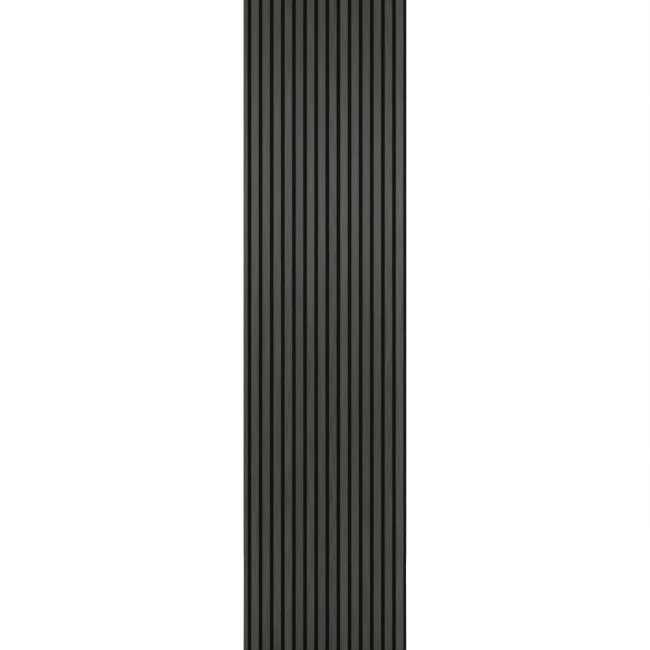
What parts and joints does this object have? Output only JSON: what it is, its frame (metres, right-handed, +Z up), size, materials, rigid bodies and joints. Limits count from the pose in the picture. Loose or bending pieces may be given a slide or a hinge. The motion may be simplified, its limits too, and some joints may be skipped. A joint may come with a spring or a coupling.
{
  "type": "acoustic wood wall panel",
  "caption": "Slatted acoustic wall panel: upright grey veneered slats, glued and stapled side by side on a sheet of black felt, with a narrow slat at one edge and bare felt at the other.",
  "frame": {"origin": "centre of the back face, where the panel meets the wall", "axes": "+Z up along the slats, +X to the right as seen from the room, +Y into the wall; the slats face -Y"},
  "size_m": [0.6, 0.021, 2.4],
  "materials": {
    "felt": "matt needled polyester felt, near black",
    "fibreboard": "raw medium-density fibreboard",
    "veneer": "grey-stained oak veneer, satin matt lacquer",
    "staple_wire": "galvanised flat wire"
  },
  "bodies": {
    "root": {"felt_backing": "felt", "slat_core_01": "fibreboard", "slat_core_02": "fibreboard", "slat_core_03": "fibreboard", "slat_core_04": "fibreboard", "slat_core_05": "fibreboard", "slat_core_06": "fibreboard", "slat_core_07": "fibreboard", "slat_core_08": "fibreboard", "slat_core_09": "fibreboard", "slat_core_10": "fibreboard", "slat_core_11": "fibreboard", "slat_core_12": "fibreboard", "slat_core_13": "fibreboard", "slat_core_14": "fibreboard", "slat_core_15": "fibreboard", "slat_veneer_01": "veneer", "slat_veneer_02": "veneer", "slat_veneer_03": "veneer", "slat_veneer_04": "veneer", "slat_veneer_05": "veneer", "slat_veneer_06": "veneer", "slat_veneer_07": "veneer", "slat_veneer_08": "veneer", "slat_veneer_09": "veneer", "slat_veneer_10": "veneer", "slat_veneer_11": "veneer", "slat_veneer_12": "veneer", "slat_veneer_13": "veneer", "slat_veneer_14": "veneer", "slat_veneer_15": "veneer", "staples": "staple_wire"}
  },
  "joints": []
}
